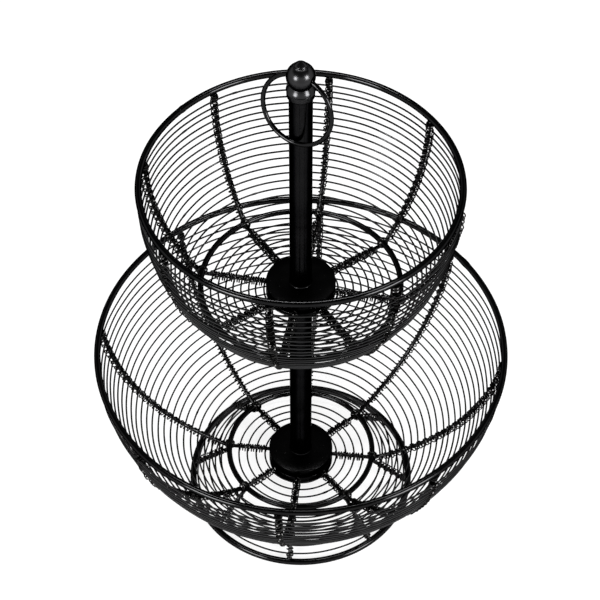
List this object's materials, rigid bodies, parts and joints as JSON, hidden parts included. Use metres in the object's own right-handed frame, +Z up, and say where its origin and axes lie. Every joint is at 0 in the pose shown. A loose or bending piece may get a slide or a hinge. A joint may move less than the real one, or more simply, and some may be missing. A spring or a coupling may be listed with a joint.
{
  "type": "tiered wire basket",
  "caption": "Tiered wire basket: round wire bowls on a central post over a flared wire foot, with a ball finial and a lifting ring.",
  "frame": {"origin": "on the surface it stands on, under the middle of the post", "axes": "+Z up along the post; -Y towards the side seen first; +X to that side's right"},
  "size_m": [0.3038, 0.3038, 0.4372],
  "materials": {
    "frame_wire": "black painted stout steel wire, worn slightly bright on its crowns",
    "hoop_wire": "black painted thin steel wire",
    "lash_wire": "black painted fine binding wire, a little rough",
    "post_black": "satin black paint on steel tube and plate",
    "polished_black": "gloss black finish on turned metal",
    "hardware": "bare steel rod, washer and nut"
  },
  "bodies": {
    "stand": {"upper_rim": "frame_wire", "upper_base_ring": "frame_wire", "upper_wall_lower_hoops": "hoop_wire", "upper_wall_upper_hoops": "hoop_wire", "upper_floor_hoops": "hoop_wire", "upper_rib_1": "frame_wire", "upper_rib_2": "frame_wire", "upper_rib_3": "frame_wire", "upper_rib_4": "frame_wire", "upper_rib_5": "frame_wire", "upper_rib_6": "frame_wire", "upper_rib_7": "frame_wire", "upper_rib_8": "frame_wire", "upper_lashing_1": "lash_wire", "upper_lashing_2": "lash_wire", "upper_lashing_3": "lash_wire", "upper_lashing_4": "lash_wire", "upper_lashing_5": "lash_wire", "upper_lashing_6": "lash_wire", "upper_lashing_7": "lash_wire", "upper_lashing_8": "lash_wire", "lower_rim": "frame_wire", "lower_base_ring": "frame_wire", "lower_wall_lower_hoops": "hoop_wire", "lower_wall_upper_hoops": "hoop_wire", "lower_floor_hoops": "hoop_wire", "lower_rib_1": "frame_wire", "lower_rib_2": "frame_wire", "lower_rib_3": "frame_wire", "lower_rib_4": "frame_wire", "lower_rib_5": "frame_wire", "lower_rib_6": "frame_wire", "lower_rib_7": "frame_wire", "lower_rib_8": "frame_wire", "lower_lashing_1": "lash_wire", "lower_lashing_2": "lash_wire", "lower_lashing_3": "lash_wire", "lower_lashing_4": "lash_wire", "lower_lashing_5": "lash_wire", "lower_lashing_6": "lash_wire", "lower_lashing_7": "lash_wire", "lower_lashing_8": "lash_wire", "foot_ring": "frame_wire", "foot_hoops": "hoop_wire", "foot_struts": "frame_wire", "foot_lashings": "lash_wire", "upper_hub_top": "post_black", "upper_hub_bottom": "post_black", "lower_hub_top": "post_black", "lower_hub_bottom": "post_black", "upper_post": "post_black", "lower_post": "post_black", "tie_rod": "hardware", "base_washer": "hardware", "base_nut": "hardware", "collar": "polished_black", "finial": "polished_black"},
    "ring": {"ring_handle": "polished_black"}
  },
  "joints": [
    {"name": "ring_swing", "type": "hinge", "parent": "stand", "child": "ring", "pos_m": [0, 0, 0.424], "axis": [-0.866, 0.5, 0], "range_deg": [0, 337]}
  ]
}
